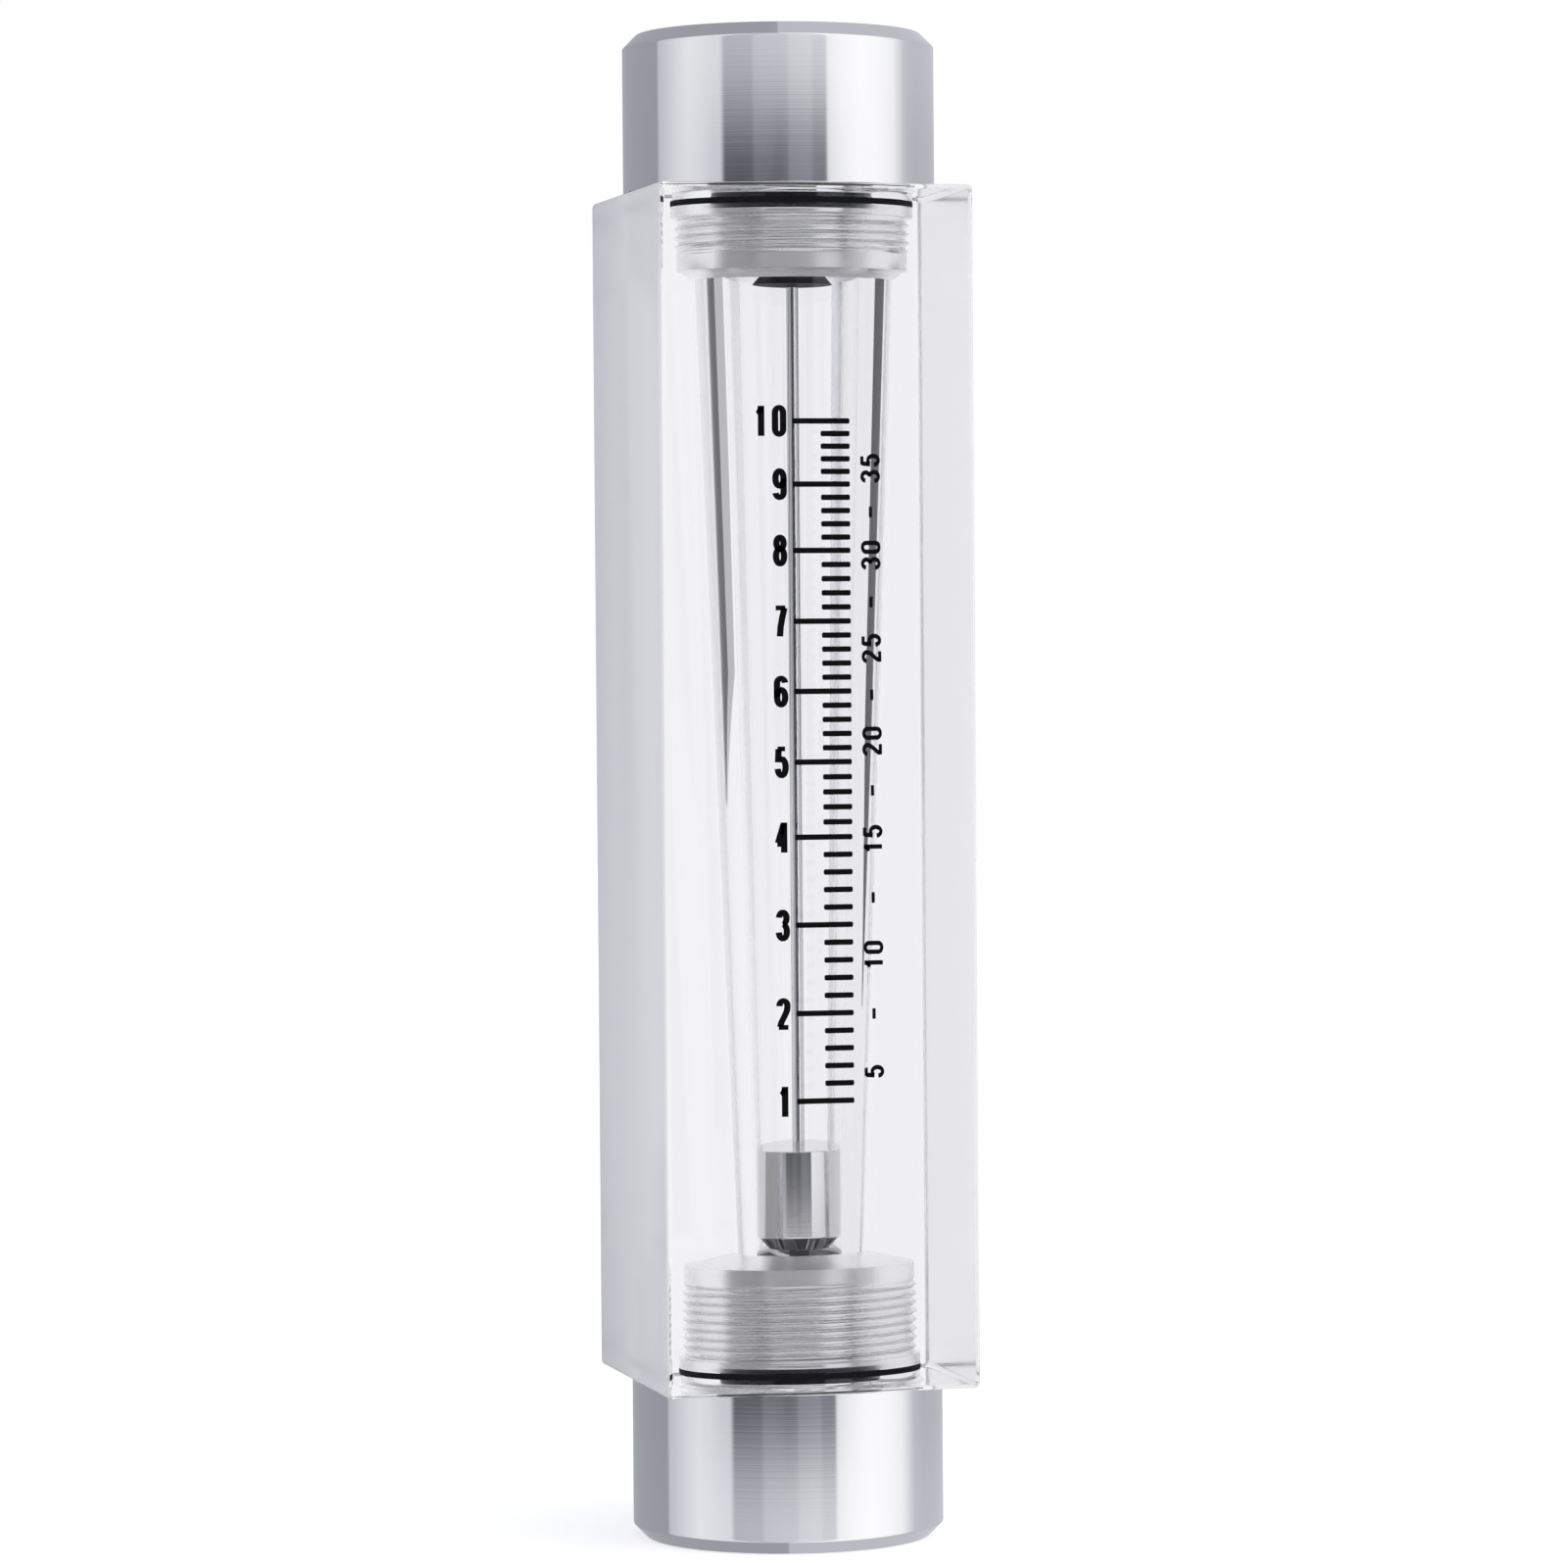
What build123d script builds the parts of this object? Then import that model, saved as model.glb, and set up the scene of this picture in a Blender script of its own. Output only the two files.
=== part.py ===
# In-line variable-area flow meter.
#
# A square bar of clear acrylic is bored from end to end. Its middle is a slow
# taper, wider at the top, and each end is a threaded port that takes a turned
# stainless fitting with a rubber ring. A steel float rides up a thin rod in the
# taper: the more flow, the wider the gap it needs, and the higher it stands.
#
# Millimetres. Z is the flow axis, zero at the mouth of the inlet fitting, and the
# face that carries the scale looks towards -Y.

from build123d import *
import os

os.makedirs("parts", exist_ok=True)

# Clear block
block_side = 50.8
block_length = 190.5
block_edge_radius = 0.8
bore_bottom_radius = 10.45
bore_top_radius = 16.2
lower_shoulder_rise = 2.4
upper_shoulder_rise = 1.4
shoulder_ledge = 0.5

# End fittings, turned from round bar that is a little slimmer than the block
collar_setback = 0.4
collar_radius = block_side / 2 - collar_setback
collar_length = 25.4
collar_chamfer = 2.2
collar_edge_break = 0.4
port_radius = 14.7
port_depth = 20.0
port_countersink = 2.2
passage_radius = 13.0
inlet_spigot_length = 16.8
outlet_spigot_length = 10.6
spigot_thread_radius = 18.6
spigot_nose_chamfer = 0.6
land_radius = 19.5
land_length = 4.4

# Sealing rings, each squeezed in a groove of its spigot
groove_offset = 1.1
groove_width = 2.6
groove_depth = 2.2
ring_width = 2.2
ring_clearance = 0.03

# How loosely the fittings sit in the block
land_clearance = 0.1
thread_clearance = 0.05
entry_chamfer = 0.6

# Guide plates, which hold the rod on the axis and let the flow past
plate_thickness = 2.4
plate_rim_width = 3.6
plate_hub_radius = 4.2
plate_arm_width = 3.0
plate_arm_count = 3
plate_corner_radius = 0.8
plate_clearance = 0.15

# Guide rod, its nuts and lock washers
rod_radius = 1.5
rod_end_radius = 1.2
rod_end_clearance = 0.05
rod_tip = 0.8
rod_tip_chamfer = 0.3
nut_across_flats = 5.0
nut_height = 2.0
nut_corner_chamfer = 0.35
washer_radius = 2.3
washer_thickness = 0.6
washer_split = 0.6

# Float and the two stops that end its travel
float_radius = 10.2
float_length = 16.0
float_chamfer_radial = 2.8
float_chamfer_height = 2.2
float_edge_break = 0.2
float_bore_clearance = 0.05
lower_stop_radius = 2.4
lower_stop_height = 2.3
upper_stop_radius = 9.65
upper_stop_bevel = 1.9
upper_stop_thickness = 1.5
upper_stop_hub_radius = 2.4
upper_stop_hub_height = 0.7
stop_clearance = 0.03

# Heights along the axis that follow from the sizes above
block_bottom = collar_length
block_top = block_bottom + block_length
total_length = block_top + collar_length
lower_plate_bottom = block_bottom + inlet_spigot_length
lower_plate_top = lower_plate_bottom + plate_thickness
upper_plate_top = block_top - outlet_spigot_length
upper_plate_bottom = upper_plate_top - plate_thickness
float_bottom = lower_plate_top + lower_stop_height

# Half sections are drawn outwards from the axis on these planes: one looks up from
# the inlet mouth and the other down from the outlet mouth.
inlet_mouth = Plane.XZ
outlet_mouth = Plane(origin=(0, 0, total_length), x_dir=(1, 0, 0), z_dir=(0, 1, 0))


# Clear block, with one passage cut through it: ring land, thread, taper, thread, land.
# Each thread ends at a ledge for the guide plate and a cone that leads to the taper.
land_bore = land_radius + land_clearance
thread_bore = spigot_thread_radius + thread_clearance
land_depth = land_length + land_clearance

with BuildPart() as meter_body:
    with BuildSketch(Plane.XY.offset(block_bottom)):
        Rectangle(block_side, block_side)
    extrude(amount=block_length)
    fillet(meter_body.edges(), radius=block_edge_radius)
    with BuildSketch(Plane.XZ):
        with BuildLine():
            Polyline(
                (0, block_bottom),
                (land_bore + entry_chamfer, block_bottom),
                (land_bore, block_bottom + entry_chamfer),
                (land_bore, block_bottom + land_depth),
                (thread_bore, block_bottom + land_depth),
                (thread_bore, lower_plate_top),
                (thread_bore - shoulder_ledge, lower_plate_top),
                (bore_bottom_radius, lower_plate_top + lower_shoulder_rise),
                (bore_top_radius, upper_plate_bottom - upper_shoulder_rise),
                (thread_bore - shoulder_ledge, upper_plate_bottom),
                (thread_bore, upper_plate_bottom),
                (thread_bore, block_top - land_depth),
                (land_bore, block_top - land_depth),
                (land_bore, block_top - entry_chamfer),
                (land_bore + entry_chamfer, block_top),
                (0, block_top),
                close=True,
            )
        make_face()
    revolve(axis=Axis.Z, mode=Mode.SUBTRACT)
meter_body.part.label = "meter_body"
export_step(meter_body.part, "parts/meter_body.step")


# End fittings: collar with a tapped pipe port, ring groove, threaded spigot
groove_bottom_radius = land_radius - groove_depth


def turned_fitting(mouth, spigot_length):
    spigot_end = collar_length + spigot_length
    land_end = collar_length + land_length
    groove_start = collar_length + groove_offset
    with BuildPart() as fitting:
        with BuildSketch(mouth):
            with BuildLine():
                Polyline(
                    (port_radius + port_countersink, 0),
                    (collar_radius - collar_chamfer, 0),
                    (collar_radius, collar_chamfer),
                    (collar_radius, collar_length - collar_edge_break),
                    (collar_radius - collar_edge_break, collar_length),
                    (land_radius, collar_length),
                    (land_radius, groove_start),
                    (groove_bottom_radius, groove_start),
                    (groove_bottom_radius, groove_start + groove_width),
                    (land_radius, groove_start + groove_width),
                    (land_radius, land_end),
                    (spigot_thread_radius, land_end),
                    (spigot_thread_radius, spigot_end - spigot_nose_chamfer),
                    (spigot_thread_radius - spigot_nose_chamfer, spigot_end),
                    (passage_radius, spigot_end),
                    (passage_radius, port_depth + port_radius - passage_radius),
                    (port_radius, port_depth),
                    (port_radius, port_countersink),
                    close=True,
                )
            make_face()
        revolve(axis=Axis.Z)
    return fitting


inlet_fitting = turned_fitting(inlet_mouth, inlet_spigot_length)
inlet_fitting.part.label = "inlet_fitting"
export_step(inlet_fitting.part, "parts/inlet_fitting.step")

outlet_fitting = turned_fitting(outlet_mouth, outlet_spigot_length)
outlet_fitting.part.label = "outlet_fitting"
export_step(outlet_fitting.part, "parts/outlet_fitting.step")


# Sealing rings, drawn squeezed between the groove and the wall of the block
ring_outer_radius = land_bore - ring_clearance
ring_inner_radius = groove_bottom_radius + ring_clearance


def squeezed_ring(mouth):
    section_centre = (
        (ring_outer_radius + ring_inner_radius) / 2,
        collar_length + groove_offset + groove_width / 2,
    )
    with BuildPart() as ring:
        with BuildSketch(mouth):
            with Locations(section_centre):
                Ellipse((ring_outer_radius - ring_inner_radius) / 2, ring_width / 2)
        revolve(axis=Axis.Z)
    return ring


inlet_o_ring = squeezed_ring(inlet_mouth)
inlet_o_ring.part.label = "inlet_o_ring"
export_step(inlet_o_ring.part, "parts/inlet_o_ring.step")

outlet_o_ring = squeezed_ring(outlet_mouth)
outlet_o_ring.part.label = "outlet_o_ring"
export_step(outlet_o_ring.part, "parts/outlet_o_ring.step")


# Guide plates: a rim, a hub and arms between them, clamped by the spigot's nose
plate_radius = spigot_thread_radius - plate_clearance
window_radius = plate_radius - plate_rim_width
rod_hole_radius = rod_end_radius + rod_end_clearance


def guide_plate(height):
    with BuildPart() as plate:
        with BuildSketch(Plane.XY.offset(height)) as outline:
            Circle(plate_radius)
            Circle(window_radius, mode=Mode.SUBTRACT)
            Circle(plate_hub_radius)
            with PolarLocations((window_radius + plate_hub_radius) / 2, plate_arm_count):
                Rectangle(window_radius - plate_hub_radius + plate_rim_width, plate_arm_width)
            window_corners = outline.vertices().filter_by(
                lambda corner: Vector(corner.X, corner.Y).length < window_radius + plate_rim_width / 2
            )
            fillet(window_corners, radius=plate_corner_radius)
            Circle(rod_hole_radius, mode=Mode.SUBTRACT)
        extrude(amount=plate_thickness)
    return plate


lower_guide_plate = guide_plate(lower_plate_bottom)
lower_guide_plate.part.label = "lower_guide_plate"
export_step(lower_guide_plate.part, "parts/lower_guide_plate.step")

upper_guide_plate = guide_plate(upper_plate_bottom)
upper_guide_plate.part.label = "upper_guide_plate"
export_step(upper_guide_plate.part, "parts/upper_guide_plate.step")


# Guide rod: its shoulders meet the plates, and its thin ends go on through them
rod_end_length = plate_thickness + washer_thickness + nut_height + rod_tip
rod_bottom = lower_plate_top - rod_end_length
rod_top = upper_plate_bottom + rod_end_length

with BuildPart() as guide_rod:
    with BuildSketch(Plane.XZ):
        with BuildLine():
            Polyline(
                (0, rod_bottom),
                (rod_end_radius - rod_tip_chamfer, rod_bottom),
                (rod_end_radius, rod_bottom + rod_tip_chamfer),
                (rod_end_radius, lower_plate_top),
                (rod_radius, lower_plate_top),
                (rod_radius, upper_plate_bottom),
                (rod_end_radius, upper_plate_bottom),
                (rod_end_radius, rod_top - rod_tip_chamfer),
                (rod_end_radius - rod_tip_chamfer, rod_top),
                (0, rod_top),
                close=True,
            )
        make_face()
    revolve(axis=Axis.Z)
guide_rod.part.label = "guide_rod"
export_step(guide_rod.part, "parts/guide_rod.step")


# Split lock washers and hex nuts that hold the rod to the plates
def lock_washer(height):
    with BuildPart() as washer:
        with BuildSketch(Plane.XY.offset(height)):
            Circle(washer_radius)
            Circle(rod_hole_radius, mode=Mode.SUBTRACT)
            with Locations((washer_radius, 0)):
                Rectangle(2 * washer_radius, washer_split, mode=Mode.SUBTRACT)
        extrude(amount=washer_thickness)
    return washer


def hex_nut(height):
    nut_corner_radius = nut_across_flats / 3**0.5
    with BuildPart() as nut:
        with BuildSketch(Plane.XY.offset(height)):
            RegularPolygon(nut_across_flats / 2, 6, major_radius=False)
        extrude(amount=nut_height)
        with BuildSketch(Plane.XZ):
            with BuildLine():
                Polyline(
                    (rod_hole_radius, height),
                    (nut_corner_radius - nut_corner_chamfer, height),
                    (nut_corner_radius, height + nut_corner_chamfer),
                    (nut_corner_radius, height + nut_height - nut_corner_chamfer),
                    (nut_corner_radius - nut_corner_chamfer, height + nut_height),
                    (rod_hole_radius, height + nut_height),
                    close=True,
                )
            make_face()
        revolve(axis=Axis.Z, mode=Mode.INTERSECT)
    return nut


lower_lock_washer = lock_washer(lower_plate_bottom - washer_thickness)
lower_lock_washer.part.label = "lower_lock_washer"
export_step(lower_lock_washer.part, "parts/lower_lock_washer.step")

upper_lock_washer = lock_washer(upper_plate_top)
upper_lock_washer.part.label = "upper_lock_washer"
export_step(upper_lock_washer.part, "parts/upper_lock_washer.step")

lower_rod_nut = hex_nut(lower_plate_bottom - washer_thickness - nut_height)
lower_rod_nut.part.label = "lower_rod_nut"
export_step(lower_rod_nut.part, "parts/lower_rod_nut.step")

upper_rod_nut = hex_nut(upper_plate_top + washer_thickness)
upper_rod_nut.part.label = "upper_rod_nut"
export_step(upper_rod_nut.part, "parts/upper_rod_nut.step")


# Stops, pushed onto the rod against the plates: a short sleeve under the float, and a
# bevelled disc with a small hub above it
stop_hole_radius = rod_radius + stop_clearance

with BuildPart() as lower_float_stop:
    with BuildSketch(Plane.XY.offset(lower_plate_top)):
        Circle(lower_stop_radius)
        Circle(stop_hole_radius, mode=Mode.SUBTRACT)
    extrude(amount=lower_stop_height)
lower_float_stop.part.label = "lower_float_stop"
export_step(lower_float_stop.part, "parts/lower_float_stop.step")

upper_stop_top = upper_plate_bottom - upper_stop_hub_height
upper_stop_bottom = upper_stop_top - upper_stop_thickness

with BuildPart() as upper_float_stop:
    with BuildSketch(Plane.XZ):
        with BuildLine():
            Polyline(
                (stop_hole_radius, upper_stop_bottom),
                (upper_stop_radius, upper_stop_bottom),
                (upper_stop_radius - upper_stop_bevel, upper_stop_top),
                (upper_stop_hub_radius, upper_stop_top),
                (upper_stop_hub_radius, upper_plate_bottom),
                (stop_hole_radius, upper_plate_bottom),
                close=True,
            )
        make_face()
    revolve(axis=Axis.Z)
upper_float_stop.part.label = "upper_float_stop"
export_step(upper_float_stop.part, "parts/upper_float_stop.step")


# Float: a plain steel cylinder, chamfered below, that slides on the rod and stands on
# the lower stop when nothing flows
float_top = float_bottom + float_length
float_hole_radius = rod_radius + float_bore_clearance

with BuildPart() as metering_float:
    with BuildSketch(Plane.XZ):
        with BuildLine():
            Polyline(
                (float_hole_radius, float_bottom),
                (float_radius - float_chamfer_radial, float_bottom),
                (float_radius, float_bottom + float_chamfer_height),
                (float_radius, float_top - float_edge_break),
                (float_radius - float_edge_break, float_top),
                (float_hole_radius, float_top),
                close=True,
            )
        make_face()
    revolve(axis=Axis.Z)
metering_float.part.label = "metering_float"
export_step(metering_float.part, "parts/metering_float.step")
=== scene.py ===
# %% [markdown]
# # A clear block flow meter
#
# The meter is a square bar of clear acrylic with a tapered bore. Steel fittings screw
# into both ends, and a steel float rides on a thin rod in the bore. Most of what the eye
# sees is steel and rubber bent out of shape by thick plastic, so this lesson is about
# three things: surfaces that light passes through, threads, and turned metal.
#
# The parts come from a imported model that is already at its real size. Everything here
# is in metres and in that model's frame: Z runs along the flow, and the scale faces -Y.

import math

import bmesh
import bpy
from mathutils import Matrix, Vector


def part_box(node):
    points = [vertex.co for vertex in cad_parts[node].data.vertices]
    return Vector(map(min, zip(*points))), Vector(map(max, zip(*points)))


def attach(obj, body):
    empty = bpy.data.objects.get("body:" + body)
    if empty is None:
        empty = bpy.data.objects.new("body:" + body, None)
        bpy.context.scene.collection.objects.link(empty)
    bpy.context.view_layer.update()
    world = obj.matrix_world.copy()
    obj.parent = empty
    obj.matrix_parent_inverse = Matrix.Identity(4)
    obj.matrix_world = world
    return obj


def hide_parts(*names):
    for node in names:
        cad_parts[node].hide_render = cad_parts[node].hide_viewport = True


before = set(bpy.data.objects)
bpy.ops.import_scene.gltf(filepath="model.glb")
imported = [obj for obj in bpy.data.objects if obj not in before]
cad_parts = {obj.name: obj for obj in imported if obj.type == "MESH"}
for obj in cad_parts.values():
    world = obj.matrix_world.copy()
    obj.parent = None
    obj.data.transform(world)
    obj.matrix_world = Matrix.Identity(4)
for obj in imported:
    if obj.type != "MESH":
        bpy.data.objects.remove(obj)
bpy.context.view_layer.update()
MM = 0.001
INCH = 25.4 * MM

print("nodes", len(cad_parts))

# %% [markdown]
# ## Sizes that follow from the frame
#
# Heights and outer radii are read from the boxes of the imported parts, so the pieces
# below always meet the parts that carry them. Sizes inside a part are written down.

# %% Heights and radii
block_low, block_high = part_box("meter_body")
BLOCK_HALF = block_high.x
BLOCK_BOTTOM = block_low.z
BLOCK_TOP = block_high.z
BLOCK_EDGE = 0.8 * MM

collar_low, collar_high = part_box("inlet_fitting")
COLLAR_RADIUS = collar_high.x
METER_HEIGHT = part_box("outlet_fitting")[1].z
COLLAR_LENGTH = BLOCK_BOTTOM - collar_low.z

LOWER_PLATE_BOTTOM, LOWER_PLATE_TOP = (corner.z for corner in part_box("lower_guide_plate"))
UPPER_PLATE_BOTTOM, UPPER_PLATE_TOP = (corner.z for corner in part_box("upper_guide_plate"))

BORE_BOTTOM_RADIUS = 10.45 * MM
BORE_TOP_RADIUS = 16.2 * MM
THREAD_RADIUS = 18.6 * MM
LAND_RADIUS = 19.5 * MM
LAND_LENGTH = 4.4 * MM
THREAD_PITCH = INCH / 18
LEDGE = 0.5 * MM
UPPER_RISE = 1.4 * MM
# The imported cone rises 2.4 mm. It is drawn lower, so the stop under the float shows.
LOWER_RISE = 1.75 * MM

print("block", round(BLOCK_BOTTOM / MM, 2), "to", round(BLOCK_TOP / MM, 2), "mm high")
print("meter is", round(METER_HEIGHT / MM, 2), "mm tall")

# %% [markdown]
# ## Node trees as arithmetic
#
# Shaders and Geometry Nodes do their maths with small nodes wired together. Two short
# classes make that readable: `Nodes` adds any node from its type, its settings and its
# inputs, and `Signal` is one output, with the usual operators.

# %% Nodes and signals
class Signal:
    """One output of a node, which can be used in arithmetic."""

    def __init__(self, nodes, socket):
        self.nodes = nodes
        self.socket = socket

    def math(self, operation, *values):
        sockets = enumerate((self, *values))
        return self.nodes.add("ShaderNodeMath", {"operation": operation}, sockets)

    def output(self, name):
        return Signal(self.nodes, self.socket.node.outputs[name])

    def __add__(self, other):
        return self.math("ADD", other)

    def __sub__(self, other):
        return self.math("SUBTRACT", other)

    def __mul__(self, other):
        return self.math("MULTIPLY", other)

    def __truediv__(self, other):
        return self.math("DIVIDE", other)

    def __rsub__(self, other):
        sockets = enumerate((other, self))
        return self.nodes.add("ShaderNodeMath", {"operation": "SUBTRACT"}, sockets)

    def __lt__(self, other):
        return self.math("LESS_THAN", other)

    def __gt__(self, other):
        return self.math("GREATER_THAN", other)

    __radd__ = __add__
    __rmul__ = __mul__


class Nodes:
    """Adds nodes to a tree: settings first, then values or links for the inputs."""

    def __init__(self, tree):
        self.tree = tree

    def add(self, kind, settings=None, sockets=(), index=0):
        node = self.tree.nodes.new(kind)
        for name, value in (settings or {}).items():
            if name == "stops":
                self.set_stops(node.color_ramp, value)
            else:
                setattr(node, name, value)
        for name, value in dict(sockets).items():
            if isinstance(value, Signal):
                self.tree.links.new(value.socket, node.inputs[name])
            else:
                node.inputs[name].default_value = value
        return Signal(self, node.outputs[index]) if node.outputs else node

    @staticmethod
    def set_stops(ramp, stops):
        """Fills a ramp from (place, colour) pairs."""
        while len(ramp.elements) < len(stops):
            ramp.elements.new(1.0)
        for element, (place, colour) in zip(ramp.elements, stops):
            element.position = place
            element.color = colour


# %% [markdown]
# ## Turning a profile into a solid
#
# Almost every part of this meter was made on a lathe, so one helper spins a profile of
# (radius, height) points round the Z axis. Sharp corners never look real, so a second
# helper rounds them: each corner becomes a short arc, with a close row on either side
# that keeps the flat walls flat when they are shaded smooth.

# %% Lathe helpers
SMOOTH_BELOW = math.radians(28)
THREAD_SMOOTH_BELOW = math.radians(40)
ON_AXIS = 1e-9
CLOSE_ROW = 0.1 * MM


def softened(profile, radius, steps=3):
    """A closed profile with each corner rounded, apart from those on the axis."""
    rounded = []
    count = len(profile)
    for index, corner in enumerate(profile):
        corner = Vector(corner)
        if corner.x < ON_AXIS:
            rounded.append(tuple(corner))
            continue
        before = Vector(profile[index - 1]) - corner
        after = Vector(profile[(index + 1) % count]) - corner
        reach = min(radius, before.length / 3, after.length / 3)
        start = corner + before.normalized() * reach
        end = corner + after.normalized() * reach
        rounded.append(tuple(start + before.normalized() * reach * 0.5))
        for step in range(steps + 1):
            t = step / steps
            point = start.lerp(corner, t).lerp(corner.lerp(end, t), t)
            rounded.append(tuple(point))
        rounded.append(tuple(end + after.normalized() * reach * 0.5))
    return rounded


def with_rows(start, end, spacing):
    """Points from start to end, evenly spread and at most spacing apart, without the end."""
    start, end = Vector(start), Vector(end)
    count = max(1, math.ceil((end - start).length / spacing))
    return [tuple(start.lerp(end, step / count)) for step in range(count)]


def spin_profile(bm, profile, segments, closed=True):
    """Adds the surface of a spun profile to bm and returns its rings of vertices."""
    rings = []
    for radius, height in profile:
        if radius < ON_AXIS:
            rings.append([bm.verts.new((0, 0, height))])
            continue
        turn = [2 * math.pi * step / segments for step in range(segments)]
        circle = [(radius * math.cos(a), radius * math.sin(a), height) for a in turn]
        rings.append([bm.verts.new(point) for point in circle])
    pairs = list(zip(rings, rings[1:]))
    if closed:
        pairs.append((rings[-1], rings[0]))
    for low, high in pairs:
        for step in range(segments):
            after = (step + 1) % segments
            corners = [low[step % len(low)], low[after % len(low)]]
            corners += [high[after % len(high)], high[step % len(high)]]
            face = list(dict.fromkeys(corners))
            if len(face) > 2:
                bm.faces.new(face)
    return rings


def add_object(name, data):
    """Puts an object that carries the given mesh or camera into the scene."""
    piece = bpy.data.objects.new(name, data)
    bpy.context.scene.collection.objects.link(piece)
    return piece


def finished_mesh(bm, name):
    """Turns bm into an object with its faces outwards and smooth over shallow angles."""
    bmesh.ops.recalc_face_normals(bm, faces=bm.faces)
    mesh = bpy.data.meshes.new(name)
    bm.to_mesh(mesh)
    bm.free()
    mesh.shade_smooth()
    mesh.set_sharp_from_angle(angle=SMOOTH_BELOW)
    return add_object(name, mesh)


def lathe(name, profile, segments):
    bm = bmesh.new()
    spin_profile(bm, profile, segments)
    return finished_mesh(bm, name)


def report(piece):
    print(piece.name, "has", len(piece.data.polygons), "faces")


# %% [markdown]
# ## Cutting threads with Geometry Nodes
#
# A thread is a groove that follows a helix. On a turned surface that is a rule: how far
# a point moves in or out depends only on its height and its angle. The tree below reads
# both from the position, makes a rounded V wave from them, fades it in and out at the
# ends of the cut, and moves the points of one wall along their radius. The same tree
# cuts the outside threads of the fittings, the inside threads of the block and the pipe
# threads of the ports.

# %% The start and the end of a tree
def new_tree(name, inputs):
    """A Geometry Nodes tree with geometry in and out, float inputs and a material input."""
    group = bpy.data.node_groups.new(name, "GeometryNodeTree")
    face = group.interface
    face.new_socket("Geometry", in_out="INPUT", socket_type="NodeSocketGeometry")
    face.new_socket("Geometry", in_out="OUTPUT", socket_type="NodeSocketGeometry")
    for input_name in inputs:
        face.new_socket(input_name, in_out="INPUT", socket_type="NodeSocketFloat")
    face.new_socket("Material", in_out="INPUT", socket_type="NodeSocketMaterial")
    nodes = Nodes(group)
    return group, nodes, nodes.add("NodeGroupInput")


def end_tree(nodes, given, geometry):
    """Ends a tree with real geometry that wears the given material."""
    real = nodes.add("GeometryNodeRealizeInstances", None, {"Geometry": geometry})
    finish = {"Geometry": real, "Material": given.output("Material")}
    dressed = nodes.add("GeometryNodeSetMaterial", None, finish)
    nodes.add("NodeGroupOutput", None, {"Geometry": dressed})


# %% The thread-cutting tree
WALL_TOLERANCE = 0.02 * MM
THREAD_INPUTS = ("Wall radius", "Bottom", "Top", "Pitch", "Depth", "Run-out")
thread_tree, tree, given = new_tree("cut_thread", THREAD_INPUTS)
place = tree.add("GeometryNodeInputPosition")
parts = tree.add("ShaderNodeSeparateXYZ", None, {"Vector": place})
east, north, height = parts, parts.output("Y"), parts.output("Z")
radius = (east * east + north * north).math("SQRT")
turn = north.math("ARCTAN2", east) / (2 * math.pi)
phase = (height / given.output("Pitch") - turn).math("FRACT")
ridge = (phase * 2 - 1).math("ABSOLUTE")
rounded_ridge = ridge * ridge * (3 - 2 * ridge)
from_bottom = (height - given.output("Bottom")) / given.output("Run-out")
from_top = (given.output("Top") - height) / given.output("Run-out")
fade = from_bottom.math("MINIMUM", from_top).math("MINIMUM", 1).math("MAXIMUM", 0)
on_wall = (radius - given.output("Wall radius")).math("ABSOLUTE") < WALL_TOLERANCE
shift = given.output("Depth") * (rounded_ridge - 0.5) * fade * on_wall / radius
outwards = tree.add("ShaderNodeCombineXYZ", None, {"X": east * shift, "Y": north * shift})
cut = tree.add("GeometryNodeSetPosition", None, {"Geometry": given, "Offset": outwards})
end_tree(tree, given, cut)
print("thread tree has", len(thread_tree.nodes), "nodes")


# %% [markdown]
# A modifier's inputs go by hidden identifiers. One helper looks them up by name, and
# another bakes the result of a tree into a plain mesh, which is what the rest of the
# script needs.

# %% Running a tree on a piece
def input_keys(node_group):
    """Input name to identifier for a Geometry Nodes tree."""
    sockets = [s for s in node_group.interface.items_tree if s.item_type == "SOCKET"]
    return {s.name: s.identifier for s in sockets if s.in_out == "INPUT"}


def run_tree(piece, node_group, values):
    """Applies a tree to a piece with the given inputs and leaves a plain mesh."""
    keys = input_keys(node_group)
    modifier = piece.modifiers.new(node_group.name, "NODES")
    modifier.node_group = node_group
    for name, value in values.items():
        modifier[keys[name]] = value
    piece.update_tag()
    evaluated = piece.evaluated_get(bpy.context.evaluated_depsgraph_get())
    result = bpy.data.meshes.new_from_object(evaluated)
    piece.modifiers.remove(modifier)
    piece.data = result
    result.shade_smooth()
    result.set_sharp_from_angle(angle=THREAD_SMOOTH_BELOW)


def cut_thread(piece, material, wall_radius, bottom, top, depth, pitch=THREAD_PITCH):
    """Cuts a thread into one wall of a piece, fading over a pitch at either end."""
    values = {
        "Wall radius": wall_radius, "Bottom": bottom, "Top": top, "Pitch": pitch,
        "Depth": depth, "Run-out": pitch, "Material": material,
    }
    run_tree(piece, thread_tree, values)


# %% [markdown]
# ## Finishes
#
# Each finish is one short function. They share a start: a material with its Principled
# shader and a `Nodes` helper for its tree.

# %% Starting a material
def bare_nodes(owner):
    """Empties the node tree of a material or world and returns a helper for it."""
    owner.use_nodes = True
    owner.node_tree.nodes.clear()
    return Nodes(owner.node_tree)


def new_finish(name, **constants):
    """A material whose Principled shader has these constant inputs, with its helper."""
    material = bpy.data.materials.new(name)
    nodes = bare_nodes(material)
    inputs = {key.replace("_", " "): value for key, value in constants.items()}
    shader = nodes.add("ShaderNodeBsdfPrincipled", None, inputs)
    nodes.add("ShaderNodeOutputMaterial", None, {"Surface": shader})
    return material, nodes, shader


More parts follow.
